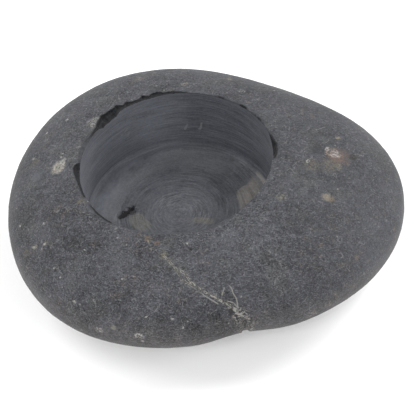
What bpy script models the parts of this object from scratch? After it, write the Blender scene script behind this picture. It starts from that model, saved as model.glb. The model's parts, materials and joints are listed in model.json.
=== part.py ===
"""Stone tealight holder: a dark basalt pebble with a round, flat-bottomed recess bored into its top.

Metres, +Z up. The origin is under the middle of the pebble, on the flat that it rests on.
+X runs along the pebble, from its broad end to its narrower end.
"""
import math

import bmesh
import bpy
from mathutils import Matrix, Vector

# Pebble
LENGTH = 0.085
WIDTH = 0.073
WAIST_HEIGHT = 0.014  # its widest level, above the resting flat
CROWN_HEIGHT = 0.0111  # from the widest level up to the top
BELLY_DEPTH = 0.0146  # from the widest level down; what would lie below z = 0 is ground off
CROWN_POWER = 2.55  # side profile: 2 is an ellipse, more is fuller in the shoulder
BELLY_POWER = 2.4
OUTLINE_OVAL = 0.08  # second harmonic of the outline seen from above
OUTLINE_EGG = 0.049  # third harmonic, which narrows one end
OUTLINE_EGG_BEARING = math.radians(7.0)
RISE_ALONG = 0.034  # slope of the whole stone towards +X
RISE_ACROSS = 0.019  # and towards +Y

# Recess for a standard tealight
TEALIGHT_DIAMETER = 0.039
TEALIGHT_CLEARANCE = 0.001  # all round
FLOOR_THICKNESS = 0.0075  # rock left under the recess
FLOOR_FILLET = 0.0015  # left by the drill's rounded corner
RECESS_X = -0.0059
RECESS_Y = 0.0026
RECESS_RADIUS = TEALIGHT_DIAMETER / 2 + TEALIGHT_CLEARANCE

# Chips broken from the recess rim: name, bearing about the recess, length along the rim,
# reach outwards and drop down the wall
RIM_CHIPS = (
    ("chip_back_left", math.radians(148.0), 0.0120, 0.0021, 0.0020),
    ("chip_back", math.radians(123.0), 0.0095, 0.0013, 0.0012),
    ("chip_left", math.radians(-162.0), 0.0075, 0.0011, 0.0014),
    ("chip_right", math.radians(20.0), 0.0075, 0.0008, 0.0022),
)

# Shallow hollow in the pebble's front, on both sides of the vein
HOLLOW_BEARING = math.radians(-59.0)  # along the outline
HOLLOW_WIDTH = 0.025
HOLLOW_DEPTH = 0.0015
HOLLOW_START = 0.6  # as a share of the way out to the outline
HOLLOW_FULL = 0.95

# Nick where the pale vein leaves the pebble's side
NICK_BEARING = math.radians(-60.0)  # along the outline
NICK_LATITUDE = math.radians(-14.0)
NICK_WIDTH = 0.0018
NICK_DEPTH = 0.0011
NICK_HEIGHT = 0.0078

# Pit in the recess floor
PIT_DISTANCE = 0.0123  # from the recess axis
PIT_BEARING = math.radians(-171.0)
PIT_TURN = math.radians(55.0)  # of its long side, from +X
PIT_LENGTH = 0.0044
PIT_WIDTH = 0.0015
PIT_DEPTH = 0.0007

# Fineness of the mesh
PEBBLE_SEGMENTS = 20  # along each side of the cube that the pebble starts from
RECESS_STEPS = 96
FILLET_STEPS = 5
CUTTER_SEGMENTS = 12
OUTLINE_STEPS = 720

STONE_COLOUR = (0.115, 0.117, 0.127, 1.0)
STONE_ROUGHNESS = 0.86
SMOOTH_ANGLE = math.radians(35.0)
CUTTER_OVERSHOOT = 0.004  # how far the recess cutter stands above the pebble


def clear_scene():
    for thing in list(bpy.data.objects):
        bpy.data.objects.remove(thing, do_unlink=True)


def make_collection(name):
    collection = bpy.data.collections.new(name)
    bpy.context.scene.collection.children.link(collection)
    return collection


def stone_material():
    material = bpy.data.materials.new("basalt")
    material.use_nodes = True
    shader = material.node_tree.nodes["Principled BSDF"]
    shader.inputs["Base Color"].default_value = STONE_COLOUR
    shader.inputs["Roughness"].default_value = STONE_ROUGHNESS
    shader.inputs["Metallic"].default_value = 0.0
    return material


def outline_radius(bearing):
    """Radius of the outline before it is scaled to the pebble's length and width."""
    oval = OUTLINE_OVAL * math.cos(2 * bearing)
    egg = OUTLINE_EGG * math.cos(3 * (bearing - OUTLINE_EGG_BEARING))
    return 1 + oval + egg


def fit_outline():
    """Scale and offset that give the outline its length and width and centre it on the origin."""
    bearings = [2 * math.pi * step / OUTLINE_STEPS for step in range(OUTLINE_STEPS)]
    along = [outline_radius(bearing) * math.cos(bearing) for bearing in bearings]
    across = [outline_radius(bearing) * math.sin(bearing) for bearing in bearings]
    scale_x = LENGTH / (max(along) - min(along))
    scale_y = WIDTH / (max(across) - min(across))
    centre_x = -scale_x * (max(along) + min(along)) / 2
    centre_y = -scale_y * (max(across) + min(across)) / 2
    return scale_x, scale_y, centre_x, centre_y


def eased(value, start, end):
    """0 up to start, 1 from end on, and a smooth curve between them."""
    share = max(0.0, min(1.0, (value - start) / (end - start)))
    return share * share * (3 - 2 * share)


def hollow_depth(bearing, share):
    """How far the hollow pulls the skin in, at a share of the way out to the outline."""
    turn = math.remainder(bearing - HOLLOW_BEARING, 2 * math.pi)
    aside = abs(turn) * WIDTH / 2
    return HOLLOW_DEPTH * eased(aside, HOLLOW_WIDTH / 2, 0.0) * eased(share, HOLLOW_START, HOLLOW_FULL)


def pebble_point(bearing, latitude, fit):
    """Point of the whole pebble's skin, before its underside is ground flat."""
    scale_x, scale_y, centre_x, centre_y = fit
    above = latitude >= 0
    power = CROWN_POWER if above else BELLY_POWER
    height = CROWN_HEIGHT if above else -BELLY_DEPTH
    share = max(math.cos(latitude), 0.0) ** (2 / power)
    spread = outline_radius(bearing) * share
    x = centre_x + scale_x * spread * math.cos(bearing)
    y = centre_y + scale_y * spread * math.sin(bearing)
    z = WAIST_HEIGHT + height * abs(math.sin(latitude)) ** (2 / power)
    z += RISE_ALONG * x + RISE_ACROSS * y
    pull = hollow_depth(bearing, share)
    return Vector((x - pull * math.cos(HOLLOW_BEARING), y - pull * math.sin(HOLLOW_BEARING), z))


def crown_height_at(x, y, fit):
    """Height of the pebble's top at a place seen from above."""
    scale_x, scale_y, centre_x, centre_y = fit
    along = (x - centre_x) / scale_x
    across = (y - centre_y) / scale_y
    share = math.hypot(along, across) / outline_radius(math.atan2(across, along))
    rise = CROWN_HEIGHT * max(1 - share ** CROWN_POWER, 0.0) ** (1 / CROWN_POWER)
    return WAIST_HEIGHT + rise + RISE_ALONG * x + RISE_ACROSS * y


def add_object(name, bm, collection):
    mesh = bpy.data.meshes.new(name)
    bm.to_mesh(mesh)
    bm.free()
    thing = bpy.data.objects.new(name, mesh)
    collection.objects.link(thing)
    return thing


def mark_as_cutter(thing):
    thing.hide_render = True
    thing.display_type = "WIRE"


def cut(thing, cutter):
    boolean = thing.modifiers.new(cutter.name, "BOOLEAN")
    boolean.operation = "DIFFERENCE"
    boolean.solver = "EXACT"
    boolean.object = cutter


def make_pebble(fit, collection, material):
    """An evenly divided cube, rounded to a ball and then given the pebble's form."""
    bm = bmesh.new()
    bmesh.ops.create_cube(bm, size=2.0)
    bmesh.ops.subdivide_edges(bm, edges=bm.edges[:], cuts=PEBBLE_SEGMENTS - 1, use_grid_fill=True)
    for vert in bm.verts:
        ball = Vector([math.tan(math.pi / 4 * side) for side in vert.co]).normalized()
        latitude = math.asin(max(-1.0, min(1.0, ball.z)))
        vert.co = pebble_point(math.atan2(ball.y, ball.x), latitude, fit)
    everything = bm.verts[:] + bm.edges[:] + bm.faces[:]
    ground = bmesh.ops.bisect_plane(bm, geom=everything, plane_co=(0, 0, 0), plane_no=(0, 0, 1),
                                    clear_inner=True)
    edges = [part for part in ground["geom_cut"] if isinstance(part, bmesh.types.BMEdge)]
    bmesh.ops.edgeloop_fill(bm, edges=edges)
    bmesh.ops.recalc_face_normals(bm, faces=bm.faces[:])
    pebble = add_object("stone_body", bm, collection)
    pebble.data.materials.append(material)
    pebble.data.shade_smooth()
    pebble.data.set_sharp_from_angle(angle=SMOOTH_ANGLE)
    return pebble


def make_recess_cutter(collection):
    """The drilled recess: a profile turned about its axis, top to bottom down the outside."""
    top = WAIST_HEIGHT + CROWN_HEIGHT + CUTTER_OVERSHOOT
    profile = [(0.0, top), (RECESS_RADIUS, top)]
    for step in range(FILLET_STEPS + 1):
        angle = math.pi / 2 * step / FILLET_STEPS
        profile.append((RECESS_RADIUS - FLOOR_FILLET + FLOOR_FILLET * math.cos(angle),
                        FLOOR_THICKNESS + FLOOR_FILLET - FLOOR_FILLET * math.sin(angle)))
    profile.append((0.0, FLOOR_THICKNESS))
    bm = bmesh.new()
    verts = [bm.verts.new((radius, 0.0, height)) for radius, height in profile]
    for first, second in zip(verts, verts[1:]):
        bm.edges.new((first, second))
    cutter = add_object("recess_cutter", bm, collection)
    cutter.location = (RECESS_X, RECESS_Y, 0.0)
    screw = cutter.modifiers.new("turn", "SCREW")
    screw.steps = RECESS_STEPS
    screw.render_steps = RECESS_STEPS
    screw.use_merge_vertices = True
    screw.merge_threshold = 0.00001
    mark_as_cutter(cutter)
    return cutter


def make_scoop(name, half_sizes, place, turn, collection):
    """A small ellipsoid cutter: half_sizes along, across and up, turned about Z and put in place."""
    bm = bmesh.new()
    bmesh.ops.create_uvsphere(bm, u_segments=CUTTER_SEGMENTS, v_segments=CUTTER_SEGMENTS // 2,
                              radius=1.0, matrix=Matrix.Diagonal((*half_sizes, 1.0)))
    scoop = add_object(name, bm, collection)
    scoop.location = place
    scoop.rotation_euler = (0.0, 0.0, turn)
    mark_as_cutter(scoop)
    return scoop


def make_rim_chip(name, bearing, length, reach, drop, fit, collection):
    """A scoop centred on the rim, its long side along the rim."""
    x = RECESS_X + RECESS_RADIUS * math.cos(bearing)
    y = RECESS_Y + RECESS_RADIUS * math.sin(bearing)
    place = (x, y, crown_height_at(x, y, fit))
    return make_scoop(name, (length / 2, reach, drop), place, bearing + math.pi / 2, collection)


def make_nick(fit, collection):
    """A narrow upright scoop just below the pebble's widest line."""
    place = pebble_point(NICK_BEARING, NICK_LATITUDE, fit)
    return make_scoop("vein_nick", (NICK_DEPTH, NICK_WIDTH / 2, NICK_HEIGHT / 2), place,
                      math.atan2(place.y, place.x), collection)


def make_floor_pit(collection):
    x = RECESS_X + PIT_DISTANCE * math.cos(PIT_BEARING)
    y = RECESS_Y + PIT_DISTANCE * math.sin(PIT_BEARING)
    return make_scoop("floor_pit", (PIT_LENGTH / 2, PIT_WIDTH / 2, PIT_DEPTH),
                      (x, y, FLOOR_THICKNESS), PIT_TURN, collection)


def main():
    clear_scene()
    stone = make_collection("tealight_stone")
    cutters = make_collection("cutters")
    fit = fit_outline()
    pebble = make_pebble(fit, stone, stone_material())
    cut(pebble, make_recess_cutter(cutters))
    for name, bearing, length, reach, drop in RIM_CHIPS:
        cut(pebble, make_rim_chip(name, bearing, length, reach, drop, fit, cutters))
    cut(pebble, make_nick(fit, cutters))
    cut(pebble, make_floor_pit(cutters))


main()
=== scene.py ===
import json
import math

import bpy
from mathutils import Matrix, Vector


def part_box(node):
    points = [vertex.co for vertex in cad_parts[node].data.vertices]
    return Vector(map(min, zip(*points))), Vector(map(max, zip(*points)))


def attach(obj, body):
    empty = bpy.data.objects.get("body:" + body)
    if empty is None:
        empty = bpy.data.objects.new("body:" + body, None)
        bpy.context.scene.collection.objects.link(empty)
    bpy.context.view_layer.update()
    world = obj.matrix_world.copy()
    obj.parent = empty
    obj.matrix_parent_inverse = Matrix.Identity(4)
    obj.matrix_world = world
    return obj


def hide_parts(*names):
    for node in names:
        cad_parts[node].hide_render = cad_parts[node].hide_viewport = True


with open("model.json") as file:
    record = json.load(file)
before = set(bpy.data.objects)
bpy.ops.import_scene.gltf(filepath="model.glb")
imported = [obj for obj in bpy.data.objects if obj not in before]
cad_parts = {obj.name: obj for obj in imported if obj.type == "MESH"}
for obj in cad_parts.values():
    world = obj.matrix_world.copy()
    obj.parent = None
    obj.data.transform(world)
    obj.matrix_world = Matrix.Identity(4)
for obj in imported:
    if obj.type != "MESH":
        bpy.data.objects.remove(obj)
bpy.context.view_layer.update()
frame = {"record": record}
lowCorner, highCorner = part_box("stone_body")
seat = next(mount for mount in frame["record"]["mounts"] if mount["name"] == "tealight_seat")["pos_m"]
mm = 0.001


class Wire:
    # A node's output that takes part in plain arithmetic

    def __init__(self, board, socket):
        self.board = board
        self.socket = socket

    def sum(self, operation, *values):
        kind = "ShaderNodeMath" if self.socket.type == "VALUE" else "ShaderNodeVectorMath"
        return self.board.add(kind, {"operation": operation}, dict(enumerate(values)))

    def __add__(self, other):
        return self.sum("ADD", self, other)

    __radd__ = __add__

    def __sub__(self, other):
        return self.sum("SUBTRACT", self, other)

    def __rsub__(self, other):
        return self.sum("SUBTRACT", other, self)

    def __mul__(self, other):
        return self.sum("MULTIPLY", self, other)

    __rmul__ = __mul__

    def __truediv__(self, other):
        return self.sum("DIVIDE", self, other)

    def __rtruediv__(self, other):
        return self.sum("DIVIDE", other, self)

    def __pow__(self, power):
        return self.sum("POWER", self, power)

    def __abs__(self):
        return self.sum("ABSOLUTE", self)

    def least(self, other):
        return self.sum("MINIMUM", self, other)

    def most(self, other):
        return self.sum("MAXIMUM", self, other)

    def above(self, level):
        return self.sum("GREATER_THAN", self, level)

    def sin(self):
        return self.sum("SINE", self)

    def cos(self):
        return self.sum("COSINE", self)

    def clamped(self):
        return self.board.add("ShaderNodeClamp", {}, {"Value": self})

    def ramp(self, start, end, low=0.0, high=1.0, soft=True):
        # low up to start, high from end on, and a curve or a straight line between
        how = "SMOOTHSTEP" if soft else "LINEAR"
        values = {"Value": self, "From Min": start, "From Max": end, "To Min": low, "To Max": high}
        return self.board.add("ShaderNodeMapRange", {"interpolation_type": how, "clamp": True}, values)

    def band(self, start, full, last, end):
        # 0 up to start and from end on, 1 between full and last
        return self.ramp(start, full) * self.ramp(end, last)

    def scaled(self, factor):
        return self.board.add("ShaderNodeVectorMath", {"operation": "SCALE"}, {0: self, "Scale": factor})

    def measure(self, operation, *values):
        # a number worked out from vectors
        return self.board.add("ShaderNodeVectorMath", {"operation": operation}, dict(enumerate(values)),
                              out="Value")

    def dot(self, other):
        return self.measure("DOT_PRODUCT", self, other)

    def away(self, other):
        return self.measure("DISTANCE", self, other)

    def length(self):
        return self.measure("LENGTH", self)

    def split(self):
        # the x, y and z of a vector
        node = self.board.place("ShaderNodeSeparateXYZ", {}, {0: self})
        return [Wire(self.board, output) for output in node.outputs]


class Board:
    # A node tree, for a material or for geometry

    def __init__(self, tree):
        self.tree = tree

    def place(self, kind, settings=None, sockets=None):
        node = self.tree.nodes.new(kind)
        for name, value in (settings or {}).items():
            setattr(node, name, value)
        for name, value in (sockets or {}).items():
            socket = node.inputs[name]
            if isinstance(value, Wire):
                self.tree.links.new(value.socket, socket)
            elif socket.type in ("VECTOR", "ROTATION") and isinstance(value, (int, float)):
                socket.default_value = (value, value, value)
            else:
                socket.default_value = value
        return node

    def add(self, kind, settings=None, sockets=None, out=0):
        return Wire(self, self.place(kind, settings, sockets).outputs[out])

    def vector(self, x, y, z):
        return self.add("ShaderNodeCombineXYZ", {}, {"X": x, "Y": y, "Z": z})

    def blend(self, factor, first, second):
        # a number between two numbers
        return self.add("ShaderNodeMix", {"data_type": "FLOAT"}, {0: factor, 2: first, 3: second})

    def lerp(self, factor, first, second):
        # a vector between two vectors
        return self.add("ShaderNodeMix", {"data_type": "VECTOR"}, {0: factor, 4: first, 5: second}, out=1)

    def tint(self, factor, first, second):
        # a colour between two colours
        return self.add("ShaderNodeMix", {"data_type": "RGBA"}, {0: factor, 6: first, 7: second}, out=2)

    def noise(self, where, size, detail=2.0, rough=0.5, shift=0.0, out=0):
        # size is that of one blotch, in the units of where
        moved = where + (shift, shift * 0.7, -shift) if shift else where
        return self.add("ShaderNodeTexNoise", {}, {"Vector": moved, "Scale": 1.0 / size, "Detail": detail,
                                                   "Roughness": rough}, out=out)

    def cells(self, where, size):
        # distance to the nearest of some scattered points, and three random numbers of that point
        node = self.place("ShaderNodeTexVoronoi", {}, {"Vector": where, "Scale": 1.0 / size})
        return Wire(self, node.outputs["Distance"]), Wire(self, node.outputs["Color"]).split()


# The pebble's form. Each value becomes an input of its node tree.
pebble = {
    "waistHeight": 14.0 * mm,  # its widest level
    "crownHeight": 11.1 * mm,
    "bellyDepth": 14.6 * mm,
    "crownPower": 2.55,  # 2 is an ellipse, more is fuller in the shoulder
    "bellyPower": 2.4,
    "oval": 0.08,  # the outline's swelling at two ends
    "egg": 0.049,  # and at three, which narrows one end
    "eggBearing": math.radians(7.0),
    "riseAlong": 0.034,  # slope of the top towards the narrow end
    "riseAcross": 0.019,  # and towards the back
    "hollowBearing": math.radians(-59.0),  # the shallow hollow in the front, on both sides of the vein
    "hollowWidth": 25.0 * mm,
    "hollowDepth": 1.5 * mm,
    "hollowStart": 0.6,  # as a share of the way out to the outline
    "hollowFull": 0.95,
    "recessRadius": 20.5 * mm,
    "cove": 1.5 * mm,  # rounded corner of the recess floor
    "edgeWear": 0.11 * mm,  # the rim's own small bevel
    "undulation": 0.16 * mm,
    "dimpling": 0.07 * mm,
    "grit": 0.035 * mm,
    "wallGrooves": 0.045 * mm,
    "floorGrooves": 0.05 * mm,
    "floorDish": 0.5 * mm,  # how far the floor rises towards its left edge
    "chipHollow": 0.3,  # how hollow a chip is, as a share of its reach
    "wearRound": 0.1 * mm,
    "breakGrit": 0.3 * mm,
    "groundBlend": 0.15 * mm,  # softness of the edge round the flat underside
    "sharpFold": math.radians(40.0),
}
rings = {"floor": 30, "cove": 6, "wall": 30, "break": 13, "crown": 54, "belly": 44}
spokes = 560
spokeCrowding = 0.35  # finer spokes at the front nick and at the chips opposite it
nickBearing = math.radians(-58.0)
floorCrowding = {"place": 0.65, "share": 0.09}  # finer rings at the pit in the floor
# Waves of the skin: value that sets the height, length in millimetres, detail, roughness and shift
skinWaves = [
    ("undulation", 15.0, 2.0, 0.5, 0.0), ("dimpling", 4.2, 3.0, 0.6, 5.0), ("grit", 1.1, 3.0, 0.65, 11.0),
]
# Turned marks to a metre, along them and across them
turnedMarks = {"wallAlong": 60, "wallAcross": 900, "floorAlong": 55, "floorAcross": 850}
# painted light: the recess wall and the floor's left edge are painted paler towards this side, which faces
# the light
leftX, leftY = -0.94, 0.34  # the direction in which the recess grows paler and its floor rises

# The broken rim, corner by corner: bearing in degrees, reach outwards and drop down the wall in
# millimetres, and how fresh the break is, from worn grey to bare dark rock darkened further by painted
# shade
rimBreaks = [
    (9, 0.0, 0.0, 0.8), (13, 0.35, 0.8, 1.0), (17.5, 0.55, 1.9, 1.0), (22, 0.6, 1.2, 1.0),
    (26, 0.25, 0.4, 1.0), (31, 0.12, 0.2, 0.8), (38, 0.05, 0.1, 0.5), (44, 0.12, 0.25, 0.8),
    (50, 0.12, 0.25, 0.8), (55, 0.0, 0.1, 0.6), (61, 0.2, 0.25, 0.8), (68, 0.02, 0.05, 0.5),
    (78, 0.18, 0.2, 0.6), (86, 0.0, 0.0, 0.5), (98, 0.05, 0.05, 0.5), (105, 0.4, 0.05, 0.8),
    (110, 0.7, 0.05, 1.0), (113, 0.45, 0.05, 1.0), (116.5, 1.35, 0.1, 1.0),
    (120, 1.2, 0.3, 1.0), (122, 0.5, 0.2, 1.0), (125.5, 1.35, 0.1, 1.0), (128.5, 0.5, 0.1, 1.0),
    (132, 0.75, 0.05, 1.0), (135, 1.3, 0.05, 1.0), (138, 1.1, 0.05, 1.0), (141.5, 2.05, 0.1, 1.0),
    (145, 1.75, 0.95, 1.0), (152, 1.95, 1.15, 1.0), (156.5, 1.2, 1.2, 1.0), (160, 0.5, 0.25, 0.9),
    (167, 0.35, 0.1, 0.6), (169.5, 0.5, 0.2, 0.45), (173, 0.75, 0.25, 0.4), (178, 0.7, 0.25, 0.35),
    (184, 0.4, 0.1, 0.3), (189.5, 0.1, 0.0, 0.6), (190.5, 0.8, 0.2, 1.0), (192.5, 1.0, 0.7, 1.0),
    (197, 0.95, 0.8, 1.0), (202, 0.5, 0.4, 1.0), (208, 0.2, 0.25, 0.9), (217, 0.15, 0.15, 0.8),
    (221, 0.05, 0.1, 0.4), (229, 0.15, 0.12, 0.8), (241, 0.2, 0.15, 0.9), (251, 0.05, 0.05, 0.4),
    (295, 0.1, 0.05, 0.1), (303, 0.45, 0.15, 0.1), (313, 0.45, 0.15, 0.1), (322, 0.1, 0.05, 0.1),
    (340, 0.0, 0.0, 0.8),
]

# The vein's runs over the stone, in millimetres
veinRuns = [
    [(-1.1, -22.8, 23.1), (2.0, -25.0, 22.5), (4.3, -25.8, 22.1), (5.4, -27.0, 21.6),
     (8.2, -28.0, 20.6), (10.9, -28.4, 19.5), (13.4, -28.6, 18.2), (15.0, -28.7, 17.2),
     (16.0, -28.7, 15.8), (16.6, -28.5, 12.5), (16.4, -27.9, 9.5)],
    [(2.0, -25.4, 22.4), (3.3, -26.7, 21.9), (4.5, -27.4, 21.6), (6.4, -27.7, 21.3)],
]
veinBranches = [
    [(12.1, -26.3, 20.5), (11.9, -28.2, 19.3)],
    [(13.0, -25.7, 20.6), (14.7, -27.1, 19.2), (15.4, -28.4, 17.4)],
    [(10.1, -30.3, 18.4), (12.3, -29.5, 17.7), (14.0, -28.8, 17.6)],
    [(5.6, -27.6, 21.2), (8.6, -28.9, 20.2), (11.6, -29.2, 18.8)],
    [(12.6, -28.3, 18.9), (14.4, -28.0, 18.4), (15.4, -28.4, 17.4)],
]
# The nick where the vein leaves the side, and the pit in the recess floor, in millimetres and degrees
nick = {"points": [(15.9, -28.7, 15.5), (16.6, -28.5, 12.5), (16.4, -28.0, 9.5), (15.9, -26.8, 7.0),
                   (15.4, -25.4, 5.4)],
        "halfWidth": 1.05, "depth": 1.35, "top": 16.5, "fullTop": 11.5, "fullFoot": 6.5, "foot": 4.0}
floorPit = {"distance": 12.3, "bearing": -171, "turn": 57, "halfLength": 2.8, "halfWidth": 0.72,
            "depth": 0.6, "neck": 0.15, "swelling": 0.22, "taper": 0.4}


def outlineRadius(bearing):
    oval = pebble["oval"] * math.cos(2 * bearing)
    return 1 + oval + pebble["egg"] * math.cos(3 * (bearing - pebble["eggBearing"]))


def fitOutline():
    # the scale and centre that give the outline the solid's length and width
    bearings = [math.radians(0.5 * step) for step in range(720)]
    fitted = {}
    for axis, turn, low, high in (("X", math.cos, lowCorner.x, highCorner.x),
                                  ("Y", math.sin, lowCorner.y, highCorner.y)):
        reach = [outlineRadius(bearing) * turn(bearing) for bearing in bearings]
        scale = (high - low) / (max(reach) - min(reach))
        fitted["scale" + axis] = scale
        fitted["centre" + axis] = (high + low) / 2 - scale * (max(reach) + min(reach)) / 2
    return fitted


def outlineAt(size, bearing):
    oval = size["oval"] * (bearing * 2).cos()
    return 1 + oval + size["egg"] * ((bearing - size["eggBearing"]) * 3).cos()


def rimAt(bearing):
    # reach and drop of the broken rim, in metres, and how fresh it is
    degrees = bearing * (180 / math.pi)
    values = list(rimBreaks[0][1:])
    for early, late in zip(rimBreaks, rimBreaks[1:]):
        share = degrees.ramp(early[0], late[0], soft=False)
        values = [value + share * (end - start) if end != start else value
                  for value, start, end in zip(values, early[1:], late[1:])]
    reach, drop, fresh = values
    return reach * mm, drop * mm, fresh


def placeAt(board, size, x, y):
    # a place seen from above, as its share of the way out to the outline and its bearing
    along = (x - size["centreX"]) / size["scaleX"]
    across = (y - size["centreY"]) / size["scaleY"]
    bearing = across.sum("ARCTAN2", across, along)
    return board.vector(along, across, 0.0).length() / outlineAt(size, bearing), bearing


def crownAt(board, size, x, y):
    # height of the pebble's top over a place
    share, bearing = placeAt(board, size, x, y)
    left = (1 - share ** size["crownPower"]).most(0.0)
    rise = size["crownHeight"] * left ** (1 / size["crownPower"])
    return size["waistHeight"] + rise + size["riseAlong"] * x + size["riseAcross"] * y


def bellyAt(size, share, x, y):
    left = (1 - share ** size["bellyPower"]).most(0.0)
    fall = size["bellyDepth"] * left ** (1 / size["bellyPower"])
    return size["waistHeight"] - fall + size["riseAlong"] * x + size["riseAcross"] * y


def hollowOut(board, size, x, y, z):
    # draws the skin in at the front hollow
    share, bearing = placeAt(board, size, x, y)
    aside = abs(bearing - size["hollowBearing"]) * ((highCorner.y - lowCorner.y) / 2)
    pull = size["hollowDepth"] * aside.ramp(size["hollowWidth"] / 2, 0.0)
    pull = pull * share.ramp(size["hollowStart"], size["hollowFull"])
    inX = x - pull * size["hollowBearing"].cos()
    inY = y - pull * size["hollowBearing"].sin()
    return board.vector(inX, inY, z)


def runDistance(board, where, start, end):
    # distance from a place to a straight run, all in one unit
    start = Vector(start)
    run = Vector(end) - start
    offset = where - tuple(start)
    share = offset.dot(tuple(run / run.length_squared)).clamped()
    return offset.away(board.vector(*run).scaled(share))


def nearestRun(board, where, *runs):
    # distance to the nearest of some runs of straight stretches
    nearest = None
    for run in runs:
        for start, end in zip(run, run[1:]):
            far = runDistance(board, where, start, end)
            nearest = nearest.least(far) if nearest else far
    return nearest


def pitAt(board, hereMm):
    # 1 in the pit of the recess floor, 0 outside it: two lobes with a neck and a small side lobe
    angle = math.radians(floorPit["turn"])
    spot = math.radians(floorPit["bearing"])
    x, y, z = hereMm.split()
    pitX = x - (seat[0] / mm + floorPit["distance"] * math.cos(spot))
    pitY = y - (seat[1] / mm + floorPit["distance"] * math.sin(spot))
    long = (pitX * math.cos(angle) + pitY * math.sin(angle)) / floorPit["halfLength"]
    wide = (pitY * math.cos(angle) - pitX * math.sin(angle)) / floorPit["halfWidth"]
    wander = board.noise(hereMm, 0.8, 3.0, 0.75, 9.0) - 0.5
    swelling = floorPit["swelling"] * ((long - floorPit["neck"]) * 5.0).cos()
    lobes = 1.15 - swelling - floorPit["taper"] * long
    edge = board.vector(long + wander * 0.5, (wide + wander * 2.4) / lobes, 0.0).length()
    side = board.vector(long * 1.6 - 0.5, wide * 0.7 + 1.0, 0.0).length() + wander * 2.0
    return edge.ramp(1.08, 0.7).most(side.ramp(0.8, 0.4) * 0.6)


def growPebble(board, size):
    # rings from the middle of the recess floor, up its wall, over the crown and round to the belly
    ringCount = sum(rings.values())
    grid = board.place("GeometryNodeMeshGrid", {}, {"Size X": 1.0, "Size Y": 1.0,
                                                    "Vertices X": ringCount + 1, "Vertices Y": spokes + 1})
    across, along, flat = board.add("GeometryNodeInputPosition").split()
    ring = (across + 0.5) * ringCount
    even = (along + 0.5) * (2 * math.pi)
    bearing = even - (spokeCrowding / 2) * ((even - nickBearing) * 2).sin()
    share = {}
    start = 0
    for section, count in rings.items():
        share[section] = ring.ramp(start, start + count, soft=False)
        start += count
    quarter = math.pi / 2
    rimX = size["recessX"] + size["recessRadius"] * bearing.cos()
    rimY = size["recessY"] + size["recessRadius"] * bearing.sin()
    rimPlace = board.vector(rimX, rimY, 0.0)
    rimPlaceMm = rimPlace.scaled(1 / mm)

    # how far the broken rim reaches out over the top and down the wall
    ragged = board.noise(rimPlaceMm, 1.3, 3.0, 0.7, 7.0) - 0.5
    jagged = board.noise(rimPlaceMm, 0.7, 3.0, 0.7, 31.0) - 0.5
    reach, drop, fresh = rimAt(bearing)
    calm = reach + size["edgeWear"]
    reach = (reach * (1 + ragged * 0.5 + jagged * 0.8)).most(0.0) + size["edgeWear"] * (1 + jagged)
    drop = (drop * (1 + jagged * 0.9)).most(0.0) + size["edgeWear"] * (1 + ragged)
    broken = (reach - size["edgeWear"] * 1.5).ramp(0.0, 0.1 * mm) * fresh

    # floor, cove and wall
    inner = size["recessRadius"] - size["cove"]
    coveTurn = share["cove"] * quarter
    crowd = ((share["floor"] - floorCrowding["place"]) * (2 * math.pi)).sin() * floorCrowding["share"]
    start = math.sin(-floorCrowding["place"] * 2 * math.pi) * floorCrowding["share"]
    radius = inner * (share["floor"] - crowd + start) + size["cove"] * coveTurn.sin()
    wallTop = crownAt(board, size, rimX, rimY) - drop
    wallFoot = size["recessZ"] + size["cove"]
    recessHeight = (wallFoot - size["cove"] * coveTurn.cos()) + share["wall"] * (wallTop - wallFoot)
    # the face of the break, hollow where it is a chip and round where it is only wear
    hollow = (share["break"] * math.pi).sin() * (reach * size["chipHollow"] - size["wearRound"])
    brokenRadius = radius + calm * share["break"] + (reach - calm) * share["break"] ** 4 + hollow
    insideX = size["recessX"] + brokenRadius * bearing.cos()
    insideY = size["recessY"] + brokenRadius * bearing.sin()
    outX = size["recessX"] + (size["recessRadius"] + reach) * bearing.cos()
    outY = size["recessY"] + (size["recessRadius"] + reach) * bearing.sin()
    breakTop = crownAt(board, size, outX, outY)
    insideZ = recessHeight + share["break"] * (breakTop - wallTop) - hollow

    # crown and belly, which meet at the widest line
    outline = outlineAt(size, bearing)
    waistX = size["centreX"] + size["scaleX"] * outline * bearing.cos()
    waistY = size["centreY"] + size["scaleY"] * outline * bearing.sin()
    crownShare = (share["crown"] * quarter).sin()
    crownX = board.blend(crownShare, outX, waistX)
    crownY = board.blend(crownShare, outY, waistY)
    crownZ = crownAt(board, size, crownX, crownY)
    bellyShare = (share["belly"] * quarter).cos()
    bellyX = size["centreX"] + (waistX - size["centreX"]) * bellyShare
    bellyY = size["centreY"] + (waistY - size["centreY"]) * bellyShare
    bellyZ = bellyAt(size, bellyShare, bellyX, bellyY)

    onCrown = share["crown"].above(0.0)
    onBelly = share["belly"].above(0.0)
    place = board.lerp(onCrown, board.vector(insideX, insideY, insideZ),
                       hollowOut(board, size, crownX, crownY, crownZ))
    place = board.lerp(onBelly, place, hollowOut(board, size, bellyX, bellyY, bellyZ))
    drilled = 1 - share["break"].ramp(0.0, 0.5)
    brokenHere = broken * share["break"].ramp(0.0, 0.12) * (1 - share["crown"].ramp(0.0, 0.012))
    return Wire(board, grid.outputs["Mesh"]), place, drilled, brokenHere


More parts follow.
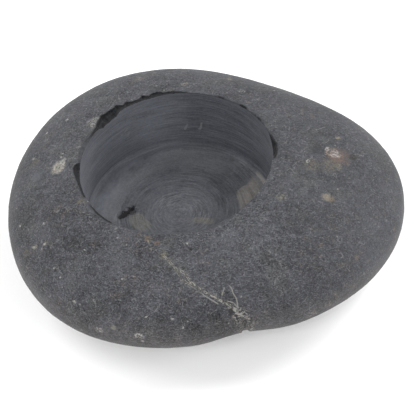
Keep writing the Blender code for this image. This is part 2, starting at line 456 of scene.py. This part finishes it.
def weather(board, size, drilled, broken):
    # how far each place of the surface moves along its normal
    here = board.add("GeometryNodeInputPosition")
    hereMm = here.scaled(1 / mm)
    x, y, z = here.split()
    move = None
    for name, long, detail, rough, shift in skinWaves:
        wave = size[name] * (board.noise(hereMm, long, detail, rough, shift) * 2 - 1)
        move = move + wave if move else wave
    # none in the recess or on the flat underside
    move = move * (1 - drilled) * z.ramp(0.2 * mm, 1.5 * mm)

    # turned marks of the drill
    fromAxis = here - board.vector(size["recessX"], size["recessY"], 0.0)
    offX, offY, offZ = fromAxis.split()
    radius = board.vector(offX, offY, 0.0).length()
    onFloor = drilled * (z - size["recessZ"] - size["cove"] * 0.9).ramp(0.0, -0.6 * mm)
    onWall = drilled * (1 - onFloor)
    along, across = turnedMarks["wallAlong"], turnedMarks["wallAcross"]
    drawnOut = board.vector(offX * along, offY * along, z * across)
    grooves = board.noise(drawnOut, 1.0, 3.0, 0.7) * 2 - 1
    move = move + onWall * size["wallGrooves"] * grooves
    along, across = turnedMarks["floorAlong"], turnedMarks["floorAcross"]
    drawnOut = board.vector(offX * along, offY * along, radius * across)
    swirl = board.noise(drawnOut, 1.0, 3.0, 0.7, 3.0) * 2 - 1
    move = move + onFloor * size["floorGrooves"] * swirl
    leftward = (offX * leftX + offY * leftY).ramp(6.0 * mm, 19.0 * mm)
    move = move + onFloor * size["floorDish"] * leftward * radius.ramp(12.0 * mm, 19.5 * mm)

    # rough faces of the breaks, and the pit
    move = move + broken * (size["breakGrit"] * (board.noise(hereMm, 1.3, 3.0, 0.7, 21.0) * 2 - 1))
    move = move - onFloor * pitAt(board, hereMm) * (floorPit["depth"] * mm)

    # nick where the vein leaves the side
    ragged = board.noise(hereMm, 0.9, 2.0, 0.6, 17.0) - 0.5
    gap = nearestRun(board, hereMm, nick["points"]) + ragged * 0.6
    height = hereMm.split()[2]
    deep = height.band(nick["foot"], nick["fullFoot"], nick["fullTop"], nick["top"])
    return move - gap.ramp(nick["halfWidth"], 0.1, soft=False) * deep * (nick["depth"] * mm)


def makeStone(material):
    tree = bpy.data.node_groups.new("pebbleForm", "GeometryNodeTree")
    tree.interface.new_socket(name="Geometry", in_out="OUTPUT", socket_type="NodeSocketGeometry")
    values = dict(pebble, recessX=seat[0], recessY=seat[1], recessZ=seat[2], **fitOutline())
    identifiers = {}
    for name in values:
        socket = tree.interface.new_socket(name=name, in_out="INPUT", socket_type="NodeSocketFloat")
        identifiers[name] = socket.identifier
    board = Board(tree)
    given = board.place("NodeGroupInput")
    size = {name: Wire(board, given.outputs[name]) for name in values}
    mesh, place, drilled, broken = growPebble(board, size)
    for name, value in (("drilled", drilled), ("broken", broken)):
        mesh = board.add("GeometryNodeStoreNamedAttribute", {"data_type": "FLOAT", "domain": "POINT"},
                         {"Geometry": mesh, "Name": name, "Value": value})
    mesh = board.add("GeometryNodeSetPosition", {}, {"Geometry": mesh, "Position": place})
    mesh = board.add("GeometryNodeMergeByDistance", {}, {"Geometry": mesh, "Distance": 0.001 * mm})
    mesh = board.add("GeometryNodeSetShadeSmooth", {}, {"Geometry": mesh, "Shade Smooth": True})
    kept = {name: board.add("GeometryNodeInputNamedAttribute", {"data_type": "FLOAT"}, {"Name": name})
            for name in ("drilled", "broken")}
    move = weather(board, size, kept["drilled"], kept["broken"])
    normal = board.add("GeometryNodeInputNormal")
    mesh = board.add("GeometryNodeSetPosition", {}, {"Geometry": mesh, "Offset": normal.scaled(move)})
    # the underside is ground flat
    x, y, z = board.add("GeometryNodeInputPosition").split()
    settled = board.vector(x, y, z.sum("SMOOTH_MAX", z, 0.0, size["groundBlend"]))
    mesh = board.add("GeometryNodeSetPosition", {}, {"Geometry": mesh, "Position": settled})
    fold = board.add("GeometryNodeInputMeshEdgeAngle").above(size["sharpFold"])
    mesh = board.add("GeometryNodeSetShadeSmooth", {"domain": "EDGE"},
                     {"Geometry": mesh, "Selection": fold, "Shade Smooth": False})
    mesh = board.add("GeometryNodeRealizeInstances", {}, {"Geometry": mesh})
    mesh = board.add("GeometryNodeSetMaterial", {}, {"Geometry": mesh, "Material": material})
    board.place("NodeGroupOutput", {}, {"Geometry": mesh})

    holder = bpy.data.objects.new("pebbleSource", bpy.data.meshes.new("pebbleSource"))
    bpy.context.scene.collection.objects.link(holder)
    modifier = holder.modifiers.new("form", "NODES")
    modifier.node_group = tree
    for name, value in values.items():
        modifier[identifiers[name]] = value
    grown = holder.evaluated_get(bpy.context.evaluated_depsgraph_get())
    shape = bpy.data.meshes.new_from_object(grown)
    bpy.data.objects.remove(holder)
    stone = bpy.data.objects.new("basalt_pebble", shape)
    bpy.context.scene.collection.objects.link(stone)
    print("pebble:", len(shape.vertices), "points,", len(shape.polygons), "faces")
    return stone


# The rock's look, with lengths in millimetres
skinLook = {
    "colour": (0.0402, 0.0412, 0.0470, 1.0), "tone": 1.02, "darkest": 0.15,
    "blotch": 0.95, "patch": 1.15, "grain": 1.45, "fine": 1.9,  # how strongly each size of mottling shows
    "fibre": 1.05, "fibreLevel": 0.58, "fibreShape": (0.8, 3.0, 3.0),  # to a millimetre, along and across
    "stroke": 1.3, "strokeShape": (0.7, 3.6, 3.6),
    "straySize": 1.6, "stray": 1.3,  # how minerals and marks are pulled out of shape
    "scratchColour": (0.15, 0.15, 0.15, 1.0), "scratch": 0.55,
    "speckColour": (0.20, 0.192, 0.18, 1.0), "speckSpacing": 2.3, "speckShare": 0.12,
    "dustColour": (0.084, 0.068, 0.053, 1.0), "dust": 0.45,
    "flankColour": (0.060, 0.053, 0.049, 1.0), "flank": 0.42,
    "greyGreen": (0.050, 0.051, 0.047, 1.0), "stain": 0.35,
    "roughness": 0.66, "specular": 0.2, "sheen": 0.04, "sheenRoughness": 0.5,
    "bump": 0.8, "bumpHeight": 0.09,
}
# Mottling: its name, size, detail, roughness and shift
mottling = [("blotch", 9.0, 2.0, 0.5, 0.0), ("patch", 2.4, 3.0, 0.6, 13.0), ("grain", 0.62, 2.0, 0.7, 27.0),
            ("fine", 0.28, 1.0, 0.5, 41.0)]
# Turn and tilt in degrees, and shift, of the crystals that show as fibres and as short strokes
fibreTurns = [(15, 0, 3.0), (75, 20, 6.0), (135, -20, 9.0)]
strokeTurns = [(-25, 10, 1.0), (40, -15, 4.0), (100, 5, 7.0), (160, 15, 12.0)]
hairs = [(1.9, 0.035, 2.0), (3.4, 0.017, 8.0)]  # spacing, thickness as a share of it, and shift
recessLook = {
    "wall": (0.0665, 0.0700, 0.0810, 1.0), "floor": (0.093, 0.096, 0.108, 1.0),
    "paleAndPaintedLight": (0.130, 0.134, 0.146, 1.0), "streaks": 1.6, "roughness": 0.62,
    # broken is fresh dark rock, darkened further with painted shade of the undercut chip faces
    "broken": (0.006, 0.0063, 0.0080, 1.0), "worn": (0.036, 0.037, 0.041, 1.0),
    "pit": (0.015, 0.015, 0.017, 1.0),
    # turned streaks, along them and across them
    "wallStreaks": (0.14, 3.4), "wallBands": (0.05, 0.9), "swirls": (1.7, 3.2), "sideSwirls": (2.4, 2.2),
    # bands round the recess axis: where each starts, is full, is full no longer and ends
    "edgeBand": (12.5, 15.5, 18.4, 19.2), "cornerBand": (17.7, 18.5, 18.9, 19.6),
}
veinLook = {
    "line": (0.205, 0.199, 0.184, 1.0), "core": (0.048, 0.047, 0.042, 1.0),
    # hollow is painted shade for the hollow by the nick, and also the colour of its dark crumbs
    "crumbs": (0.190, 0.180, 0.167, 1.0), "hollow": (0.015, 0.015, 0.017, 1.0),
    "halfWidth": 0.2, "thin": 0.07, "branch": 0.19,
    "shadedHollowRun": [(14.4, -29.0, 16.9), (15.1, -29.0, 15.6), (15.7, -28.8, 13.6)],
    "seamRun": [(14.6, -28.8, 17.6), (15.9, -28.7, 15.8), (16.6, -28.4, 13.0)],
}

# Minerals that lie in the skin, in millimetres. The solid ones are whole, the others only show as crumbs.
chalk = (0.215, 0.212, 0.198, 1.0)
cream = (0.161, 0.144, 0.111, 1.0)
rust = (0.100, 0.073, 0.053, 1.0)
olive = (0.084, 0.075, 0.053, 1.0)
inclusions = [
    {"at": (27.5, 10.5, 24.2), "size": 3.2, "colour": (0.080, 0.060, 0.050, 1.0), "solid": 0.3},
    {"at": (27.1, 9.9, 24.2), "size": 2.0, "colour": (0.118, 0.078, 0.062, 1.0), "solid": 0.35},
    {"at": (30.3, 11.5, 23.7), "size": 1.2, "colour": (0.020, 0.017, 0.015, 1.0), "solid": 0.5},
    {"at": (22.8, 11.2, 24.5), "size": 2.2, "colour": (0.027, 0.028, 0.032, 1.0), "solid": 0.5},
    {"at": (25.6, 11.3, 24.3), "size": 1.7, "colour": (0.181, 0.144, 0.117, 1.0), "solid": 0.12},
    {"at": (26.7, 10.9, 24.2), "size": 1.4, "colour": (0.26, 0.240, 0.228, 1.0), "solid": 0.15},
    {"at": (24.6, 11.9, 24.4), "size": 0.75, "colour": (0.242, 0.221, 0.212, 1.0), "solid": 0.1},
    {"at": (25.8, 16.2, 23.6), "size": 0.75, "colour": cream, "solid": 0.5},
    {"at": (28.0, 7.6, 24.2), "size": 1.1, "colour": cream, "solid": 0.2},
    {"at": (26.3, 7.4, 24.3), "size": 2.9, "colour": (0.084, 0.077, 0.063, 1.0), "solid": 0.12},
    {"at": (22.5, 6.2, 24.8), "size": 2.5, "colour": (0.080, 0.073, 0.060, 1.0), "solid": 0.1},
    {"at": (21.4, 7.2, 24.9), "size": 0.55, "colour": chalk, "solid": 0.1},
    {"at": (27.5, -1.3, 24.2), "size": 1.35, "colour": (0.160, 0.139, 0.112, 1.0), "solid": 0.6},
    {"at": (28.6, -1.6, 24.1), "size": 1.0, "colour": (0.114, 0.094, 0.067, 1.0), "solid": 0.1},
    {"at": (18.7, -3.8, 24.9), "size": 1.5, "colour": (0.112, 0.108, 0.088, 1.0), "solid": 0.05},
    {"at": (-30.9, -2.5, 21.6), "size": 1.8, "colour": (0.235, 0.220, 0.190, 1.0), "solid": 0.4},
    {"at": (-30.6, -1.5, 21.8), "size": 1.7, "colour": (0.300, 0.285, 0.255, 1.0), "solid": 0.3},
    {"at": (-30.7, -2.0, 21.7), "size": 1.0, "colour": (0.060, 0.057, 0.050, 1.0), "solid": 0.0},
    {"at": (-30.2, 0.1, 21.9), "size": 0.9, "colour": chalk, "solid": 0.3},
    {"at": (-35.2, -4.2, 20.0), "size": 1.8, "colour": (0.072, 0.077, 0.086, 1.0), "solid": 0.35},
    {"at": (-31.1, 0.9, 21.8), "size": 0.45, "colour": chalk, "solid": 0.6},
    {"at": (-26.4, 11.3, 22.8), "size": 2.4, "colour": (0.185, 0.181, 0.168, 1.0), "solid": 0.05},
    {"at": (-24.4, 13.6, 23.0), "size": 1.7, "colour": (0.185, 0.181, 0.168, 1.0), "solid": 0.05},
    {"at": (-10.8, 26.0, 23.1), "size": 1.1, "colour": cream, "solid": 0.0},
    {"at": (-1.9, 30.6, 21.8), "size": 1.0, "colour": cream, "solid": 0.0},
    {"at": (2.2, 26.2, 23.2), "size": 0.9, "colour": chalk, "solid": 0.0},
    {"at": (-22.6, -11.5, 22.8), "size": 1.2, "colour": olive, "solid": 0.1},
    {"at": (-5.7, -19.2, 23.6), "size": 1.05, "colour": rust, "solid": 0.15},
    {"at": (-5.2, -19.6, 23.6), "size": 0.6, "colour": cream, "solid": 0.1},
    {"at": (-3.6, -19.9, 23.6), "size": 0.95, "colour": rust, "solid": 0.15},
    {"at": (-1.6, -22.4, 23.1), "size": 1.3, "colour": (0.107, 0.099, 0.071, 1.0), "solid": 0.1},
    {"at": (-12.3, -36.2, 12.9), "size": 1.2, "colour": (0.23, 0.215, 0.200, 1.0), "solid": 0.05},
    {"at": (-30.1, -22.1, 18.7), "size": 0.9, "colour": cream, "solid": 0.1},
    {"at": (-27.7, -21.8, 19.8), "size": 0.8, "colour": cream, "solid": 0.15},
    {"at": (-31.8, -22.9, 17.4), "size": 1.2, "colour": olive, "solid": 0.1},
    {"at": (-37.0, 0.2, 19.6), "size": 1.4, "colour": olive, "solid": 0.1},
    {"at": (-8.8, -36.4, 14.6), "size": 0.85, "colour": (0.140, 0.136, 0.112, 1.0), "solid": 0.7},
    {"at": (-3.6, -36.2, 13.2), "size": 1.25, "colour": (0.27, 0.262, 0.246, 1.0), "solid": 0.0},
    {"at": (29.0, -22.6, 11.8), "size": 1.9, "colour": (0.140, 0.124, 0.110, 1.0), "solid": 0.0},
    {"at": (32.0, -20.2, 13.0), "size": 1.3, "colour": (0.130, 0.115, 0.102, 1.0), "solid": 0.0},
]
# Wide soft zones where the skin is lighter or darker than elsewhere
toneZones = [
    {"at": (14.0, -14.0, 24.6), "size": 13.0, "tone": 0.14},
    {"at": (-21.0, -24.0, 20.5), "size": 9.0, "tone": -0.14},
    {"at": (27.0, -18.0, 19.0), "size": 13.0, "tone": -0.17},
    {"at": (4.0, -33.0, 18.0), "size": 8.0, "tone": -0.17},
    {"at": (-10.0, -27.0, 21.5), "size": 6.0, "tone": 0.17},
    {"at": (33.0, 5.0, 22.5), "size": 8.0, "tone": -0.11},
    {"at": (39.0, -9.0, 16.0), "size": 12.0, "tone": 0.25},
    {"at": (13.0, -33.0, 13.0), "size": 10.0, "tone": -0.34},
    {"at": (-30.0, 5.0, 21.5), "size": 9.0, "tone": 0.08},
    {"at": (-34.0, -12.0, 18.5), "size": 7.0, "tone": -0.17},
]
# Small white specks: place and size
chalkDots = [
    (-29.4, -16.8, 20.5, 0.52), (-27.7, -21.8, 19.8, 0.58), (-30.1, -22.1, 18.7, 0.58),
    (-22.0, -29.0, 18.9, 0.37), (-18.3, -23.2, 21.7, 0.37), (-17.9, -33.4, 17.2, 0.58),
    (-8.7, -28.8, 21.2, 0.35), (2.5, -18.9, 23.8, 0.41), (-24.1, -27.2, 19.1, 0.35),
    (-35.2, -16.4, 17.9, 0.52), (-3.1, -36.2, 11.5, 0.52), (-33.6, 12.7, 20.8, 0.58),
    (-2.2, -34.7, 17.7, 0.38), (3.1, -34.0, 17.5, 0.48), (6.2, -33.4, 17.0, 0.32),
    (13.5, -30.0, 14.1, 0.38), (5.3, -34.3, 15.6, 0.40), (-37.8, 1.4, 19.4, 0.69),
    (-37.3, 9.2, 19.5, 0.63), (-30.2, 16.0, 21.5, 0.35), (-31.0, 1.9, 21.7, 0.41),
]
# Scratches on the recess wall, from end to end
wallNicks = [
    [(-6.5, 23.1, 14.8), (-7.4, 23.0, 12.7)], [(-9.7, 22.7, 14.1), (-10.5, 22.6, 12.4)],
    [(-21.2, 16.2, 17.2), (-22.3, 14.9, 16.2)], [(-21.1, 16.3, 15.8), (-21.4, 15.9, 15.0)],
    [(-11.5, 20.4, 7.4), (-11.7, 21.6, 8.7)],
]
# Silt dried on the recess floor, and darker places: centre, half sizes and turn in degrees
floorStains = [
    {"at": (1.2, 12.0), "half": (4.6, 8.0), "turn": -18, "share": 0.8, "soft": 0.9,
     "colour": (0.066, 0.069, 0.078, 1.0)},
    {"at": (8.5, 12.8), "half": (3.5, 6.6), "turn": -20, "share": 0.95, "soft": 0.15,
     "colour": (0.172, 0.163, 0.154, 1.0)},
    {"at": (-14.4, -1.6), "half": (3.1, 1.9), "turn": -30, "share": 0.85, "soft": 0.25,
     "colour": (0.132, 0.130, 0.125, 1.0)},
    {"at": (-1.3, 1.5), "half": (2.9, 1.1), "turn": 8, "share": 0.85, "soft": 0.5,
     "colour": (0.142, 0.136, 0.127, 1.0)},
]


def turned(board, where, turn, tilt):
    # coordinates turned about Z and then tilted, in degrees
    flat = board.add("ShaderNodeVectorRotate", {"rotation_type": "Z_AXIS"},
                     {"Vector": where, "Angle": math.radians(turn)})
    return board.add("ShaderNodeVectorRotate", {"rotation_type": "X_AXIS"},
                     {"Vector": flat, "Angle": math.radians(tilt)})


def skinColour(board, where, wobble):
    look = skinLook
    tones = {name: board.noise(where, *values) - 0.5 for name, *values in mottling}
    # felted crystals: long noise in three directions, the brightest of which shows
    fibre = None
    for turn, tilt, shift in fibreTurns:
        long = turned(board, board.lerp(0.4, where, wobble), turn, tilt) * look["fibreShape"]
        strand = board.noise(long, 1.0, 2.0, 0.6, shift)
        fibre = fibre.most(strand) if fibre else strand
    fibre = fibre - look["fibreLevel"]
    # short pale strokes, more of them in some places than in others
    crowd = board.noise(where, 6.0, 2.0, 0.5, 47.0).ramp(0.35, 0.65, 0.62, 0.32)
    stroke = None
    for turn, tilt, shift in strokeTurns:
        long = turned(board, where, turn, tilt) * look["strokeShape"] + shift
        near, chance = board.cells(long, 1.0)
        mark = near.ramp(0.34, 0.12) * (chance[1] - crowd).ramp(0.0, 0.3)
        stroke = stroke.most(mark) if stroke else mark
    mottle = look["fibre"] * fibre * 2 + look["stroke"] * stroke
    for name, part in tones.items():
        mottle = mottle + look[name] * part
    # calmer towards the narrow end and the back
    x, y, z = where.split()
    tone = look["tone"] + mottle * (x * 0.8 + y * 0.6).ramp(0.0, 26.0, 1.05, 0.74)
    for zone in toneZones:
        tone = tone + where.away(zone["at"]).ramp(zone["size"], 0.0) * zone["tone"]
    # grey-green and brown films
    film = board.noise(where, 7.0, 3.0, 0.6, 3.0)
    colour = board.tint(film.ramp(0.5, 0.68) * look["stain"], look["colour"], look["greyGreen"])
    dusty = film.ramp(0.5, 0.34) * board.noise(where, 1.5, 3.0, 0.7, 19.0).ramp(0.5, 0.66)
    colour = board.tint(dusty * look["dust"], colour, look["dustColour"])
    # warmer dust low on the sides
    flank = z.ramp(18.5, 12.0) * board.noise(where, 2.2, 3.0, 0.7, 23.0).ramp(0.36, 0.58, 0.35, 1.0)
    colour = board.tint(flank * look["flank"], colour, look["flankColour"])
    colour = colour.scaled(tone.most(look["darkest"]))
    # hair scratches
    for spacing, thin, shift in hairs:
        cell = board.add("ShaderNodeTexVoronoi", {"feature": "DISTANCE_TO_EDGE"},
                         {"Vector": where + shift, "Scale": 1 / spacing})
        kept = board.noise(where, 1.1, 1.0, 0.5, 50.0 + shift).ramp(0.58, 0.66)
        hair = cell.ramp(thin, thin * 0.4) * kept * look["scratch"]
        colour = board.tint(hair, colour, look["scratchColour"])
    # scattered specks
    near, chance = board.cells(board.lerp(0.35, where, wobble) + 5.0, look["speckSpacing"])
    speck = near.ramp(0.12, 0.05) * chance[0].above(1 - look["speckShare"])
    height = tones["grain"] + tones["fine"] * 0.6 + tones["patch"] * 0.5 + stroke * 0.3 + fibre
    return board.tint(speck * 0.7, colour, look["speckColour"]), height


def addMinerals(board, where, wobble, colour):
    crumbs = board.noise(where, 0.42, 3.0, 0.75, 33.0).ramp(0.49, 0.57)
    for mineral in inclusions:
        mask = wobble.away(mineral["at"]).ramp(mineral["size"], mineral["size"] * 0.45)
        mask = mask * (mineral["solid"] + (1 - mineral["solid"]) * crumbs)
        colour = board.tint(mask, colour, mineral["colour"])
    nearest = None
    ragged = board.lerp(0.5, where, wobble)
    for x, y, z, size in chalkDots:
        share = ragged.away((x, y, z)) / size
        nearest = nearest.least(share) if nearest else share
    nearest = nearest + (1 - crumbs) * 0.3
    return board.tint(nearest.ramp(1.0, 0.45) * 0.9, colour, chalk)


def addVein(board, where, wobble, colour):
    look = veinLook
    steady = board.lerp(0.4, where, wobble)
    nearest = nearestRun(board, board.lerp(0.75, where, wobble), *veinRuns)
    broken = board.noise(where, 0.9, 2.0, 0.6, 61.0)
    core = nearest.ramp(look["halfWidth"] * 2.2, look["halfWidth"]) * 0.75
    colour = board.tint(core, colour, look["core"])
    line = abs(nearest - look["halfWidth"]).ramp(look["thin"], look["thin"] * 0.4)
    line = line * broken.ramp(0.42, 0.52)
    crumb = board.noise(where, 0.5, 3.0, 0.75, 71.0)
    line = line.most(nearest.ramp(1.0, 0.25) * crumb.ramp(0.5, 0.6) * 0.35)
    branch = nearestRun(board, steady, *veinBranches).ramp(look["branch"], look["branch"] * 0.3)
    line = line.most(branch * broken.ramp(0.3, 0.4) * 0.65)
    colour = board.tint(line, colour, look["line"])
    # crumbled zone round the nick, with painted shade in the hollow at its left and a pale seam along it
    zone = nearestRun(board, wobble, nick["points"]).ramp(2.2, 1.1)
    hollow = nearestRun(board, wobble, look["shadedHollowRun"])
    # painted shade in the hollow left of the nick
    colour = board.tint(hollow.ramp(1.1, 0.6) * 0.85, colour, look["hollow"])
    colour = board.tint(zone * crumb.ramp(0.48, 0.40) * 0.9, colour, look["hollow"])
    colour = board.tint(zone * crumb.ramp(0.50, 0.55) * 0.9, colour, look["crumbs"])
    seam = nearestRun(board, wobble, look["seamRun"])
    colour = board.tint(seam.ramp(0.42, 0.22) * broken.ramp(0.38, 0.48) * 0.9, colour, look["line"])
    return colour, nearest


def floorSwirl(board, x, y, shift, turns, fineness):
    # noise drawn out in arcs about a centre: features round a turn, and to a millimetre outwards
    radius = board.vector(x, y, 0.0).length().most(0.4)
    around = board.vector(x / radius * turns, y / radius * turns, radius * fineness)
    return board.noise(around, 1.0, 3.0, 0.75, shift) - 0.5


def recessColour(board, where, wobble):
    look = recessLook
    x, y, z = where.split()
    offX = x - seat[0] / mm
    offY = y - seat[1] / mm
    radius = board.vector(offX, offY, 0.0).length()
    aboveFloor = z - seat[2] / mm
    onFloor = aboveFloor.ramp(0.45, 0.1)
    # turned streaks, long round the wall and in arcs on the floor
    long, fine = look["wallStreaks"]
    wallStreak = board.noise(board.vector(offX * long, offY * long, z * fine), 1.0, 3.0, 0.8) - 0.5
    long, fine = look["wallBands"]
    wallBand = board.noise(board.vector(offX * long, offY * long, z * fine), 1.0, 2.0, 0.5, 5.0) - 0.5
    leftward = offX * leftX + offY * leftY
    backward = offX * leftY - offY * leftX
    arcs = board.noise(where, 4.2, 2.0, 0.5, 87.0).ramp(0.32, 0.62, 0.35, 1.2)
    swirl = floorSwirl(board, offX, offY, 0.0, *look["swirls"])
    sideSwirl = floorSwirl(board, offX + 2.2, offY - 0.6, 9.0, *look["sideSwirls"])
    # painted light on the crescent along the floor's left edge
    edge = leftward.ramp(-4.0, 5.0) * radius.band(*look["edgeBand"])
    # painted shade darkening the foot of the wall on the left, in the cove
    foot = leftward.ramp(-1.0, 8.0) * radius.ramp(18.6, 19.3) * aboveFloor.ramp(2.4, 1.3)
    # on the wall, painted light brightens the side towards leftX, leftY, which faces the light
    streakAndPaintedLight = board.blend(onFloor, wallStreak * 1.5 + wallBand * 0.3 + leftward.ramp(7.0, 18.0) * 0.32,
                         (swirl + sideSwirl * 0.7) * arcs * (1 - edge * 0.6))
    grain = board.noise(where, 0.45, 2.0, 0.7, 81.0) - 0.5
    blotch = board.noise(where, 4.0, 2.0, 0.5, 85.0) - 0.5
    colour = board.tint(onFloor, look["wall"], look["floor"])
    for stain in floorStains:
        turn = math.radians(stain["turn"])
        sideX = x - stain["at"][0]
        sideY = y - stain["at"][1]
        along = (sideX * math.cos(turn) + sideY * math.sin(turn)) / stain["half"][0]
        across = (sideY * math.cos(turn) - sideX * math.sin(turn)) / stain["half"][1]
        square = abs(along).most(abs(across))
        outside = board.vector(along, across, 0.0).length() * 0.45 + square * 0.55
        outside = outside + blotch * 1.1 + grain * 0.3
        mask = outside.ramp(1.0, 1.0 - stain["soft"]) * onFloor * stain["share"]
        colour = board.tint(mask, colour, stain["colour"])
    # painted light pales the floor's left edge; the floor is also paler in the middle, with a pale line in
    # the right corner
    corner = radius.band(*look["cornerBand"]) * (offY * 0.6 + offX * 0.8).ramp(-4.0, 8.0)
    corner = corner * board.noise(where, 2.2, 2.0, 0.5, 88.0).ramp(0.35, 0.5)
    middle = radius.ramp(8.0, 5.5) * (backward + leftward * 0.3).ramp(-1.0, 2.0)
    middle = middle * (swirl + 0.5).ramp(0.3, 0.65)
    pale = edge * 0.75 + corner * 0.8 + middle * 0.5
    colour = board.tint(pale.clamped() * onFloor, colour, look["paleAndPaintedLight"])
    # foot brings in the painted shade at the wall's foot
    tone = (1 + look["streaks"] * streakAndPaintedLight + 0.9 * grain + 0.4 * blotch) * (1 - foot * 0.2)
    colour = colour.scaled(tone)
    for start, end in wallNicks:
        mark = runDistance(board, wobble, start, end).ramp(0.32, 0.1)
        colour = board.tint(mark * 0.6, colour, skinLook["scratchColour"])
    return colour, streakAndPaintedLight + grain * 0.3


def stoneMaterial():
    material = bpy.data.materials.new("basalt")
    material.use_nodes = True
    board = Board(material.node_tree)
    shader = material.node_tree.nodes["Principled BSDF"]
    for name, value in (("Specular IOR Level", "specular"), ("Sheen Weight", "sheen"),
                        ("Sheen Roughness", "sheenRoughness")):
        shader.inputs[name].default_value = skinLook[value]
    where = board.add("ShaderNodeTexCoord", out="Object").scaled(1 / mm)
    stray = board.noise(where, skinLook["straySize"], 2.0, 0.6, 91.0, out="Color") - (0.5, 0.5, 0.5)
    wobble = where + stray.scaled(skinLook["stray"])
    kept = {name: board.add("ShaderNodeAttribute", {"attribute_name": name}, out="Fac")
            for name in ("drilled", "broken")}
    outer, outerHeight = skinColour(board, where, wobble)
    outer = addMinerals(board, where, wobble, outer)
    outer, veinFar = addVein(board, where, wobble, outer)
    inner, innerHeight = recessColour(board, where, wobble)
    drilled = kept["drilled"].ramp(0.3, 0.7)
    colour = board.tint(drilled, outer, inner)
    # faces of the breaks: dark where they are fresh and darker still with painted shade of the undercut
    # chips, grey where they are worn
    rubble = board.noise(where, 0.7, 3.0, 0.7, 95.0)
    face = board.tint(kept["broken"].ramp(0.35, 0.7), recessLook["worn"], recessLook["broken"])
    face = face.scaled(1 + (rubble - 0.5) * 1.6)
    colour = board.tint(kept["broken"].ramp(0.04, 0.12), colour, face)
    colour = board.tint(drilled * pitAt(board, where), colour, recessLook["pit"])
    outerRoughness = skinLook["roughness"] + outerHeight * 0.12
    roughness = board.blend(drilled, outerRoughness, recessLook["roughness"])
    height = board.blend(drilled, outerHeight * 0.9 - veinFar.ramp(0.5, 0.0) * 0.35, innerHeight * 0.6)
    height = height + kept["broken"] * (rubble - 0.5) * 2.0
    bump = board.add("ShaderNodeBump", {}, {"Strength": skinLook["bump"], "Height": height,
                                            "Distance": skinLook["bumpHeight"] * mm})
    for name, value in (("Base Color", colour), ("Roughness", roughness), ("Normal", bump)):
        board.tree.links.new(value.socket, shader.inputs[name])
    print("basalt:", len(board.tree.nodes), "nodes")
    return material


basalt = stoneMaterial()
stone = makeStone(basalt)
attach(stone, "root")
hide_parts("stone_body")


studio = {"floorSize": 6.0, "floorColour": (0.95, 0.95, 0.95, 1.0), "worldStrength": 0.34,
          "lampTarget": (0.0, 0.0, 0.01)}


def makeFloor():
    half = studio["floorSize"] / 2
    mesh = bpy.data.meshes.new("floor")
    corners = [(-half, -half, 0), (half, -half, 0), (half, half, 0), (-half, half, 0)]
    mesh.from_pydata(corners, [], [(0, 1, 2, 3)])
    floor = bpy.data.objects.new("floor", mesh)
    bpy.context.scene.collection.objects.link(floor)
    material = bpy.data.materials.new("paper")
    material.use_nodes = True
    shader = material.node_tree.nodes["Principled BSDF"]
    shader.inputs["Base Color"].default_value = studio["floorColour"]
    shader.inputs["Roughness"].default_value = 0.9
    shader.inputs["Specular IOR Level"].default_value = 0.1
    mesh.materials.append(material)


def aim(thing, eye, target, roll=0.0):
    # points a light or the camera at a place, then rolls it about its own line of sight
    back = (Vector(eye) - Vector(target)).normalized()
    right = Vector((0, 0, 1)).cross(back).normalized()
    up = back.cross(right)
    rolledRight = right * math.cos(roll) - up * math.sin(roll)
    rolledUp = right * math.sin(roll) + up * math.cos(roll)
    turn = Matrix((rolledRight, rolledUp, back)).transposed().to_4x4()
    thing.matrix_world = Matrix.Translation(eye) @ turn


lamps = [
    {"name": "right_softbox", "eye": (0.9, -0.25, 0.65), "size": 0.9, "power": 4.6},
    {"name": "back_right_softbox", "eye": (0.6, 0.8, 0.8), "size": 0.9, "power": 18.0},
    {"name": "left_softbox", "eye": (-0.9, 0.2, 0.7), "size": 0.9, "power": 8.8},
    {"name": "front_softbox", "eye": (-0.1, -1.0, 0.7), "size": 0.9, "power": 11.8},
]


def makeLights():
    world = bpy.data.worlds.new("studio")
    world.use_nodes = True
    background = world.node_tree.nodes["Background"]
    background.inputs["Color"].default_value = (1.0, 1.0, 1.0, 1.0)
    background.inputs["Strength"].default_value = studio["worldStrength"]
    bpy.context.scene.world = world
    for lamp in lamps:
        light = bpy.data.lights.new(lamp["name"], "AREA")
        light.shape = "DISK"
        light.size = lamp["size"]
        light.energy = lamp["power"]
        thing = bpy.data.objects.new(lamp["name"], light)
        bpy.context.scene.collection.objects.link(thing)
        aim(thing, lamp["eye"], studio["lampTarget"])


view = {"azimuth": math.radians(20.0), "elevation": math.radians(47.5), "roll": math.radians(6.4),
        "distance": 0.5, "target": (0.5 * mm, 1.4 * mm, 12.0 * mm), "lens": 203.2}


def makeCamera():
    azimuth, elevation = view["azimuth"], view["elevation"]
    back = Vector((math.sin(azimuth) * math.cos(elevation), -math.cos(azimuth) * math.cos(elevation),
                   math.sin(elevation)))
    camera = bpy.data.objects.new("camera", bpy.data.cameras.new("camera"))
    camera.data.lens = view["lens"]
    camera.data.sensor_width = 36.0
    bpy.context.scene.collection.objects.link(camera)
    eye = Vector(view["target"]) + back * view["distance"]
    aim(camera, eye, view["target"], view["roll"])
    bpy.context.scene.camera = camera


makeFloor()
makeLights()
makeCamera()
bpy.context.scene.view_settings.view_transform = "Standard"
print("studio ready")
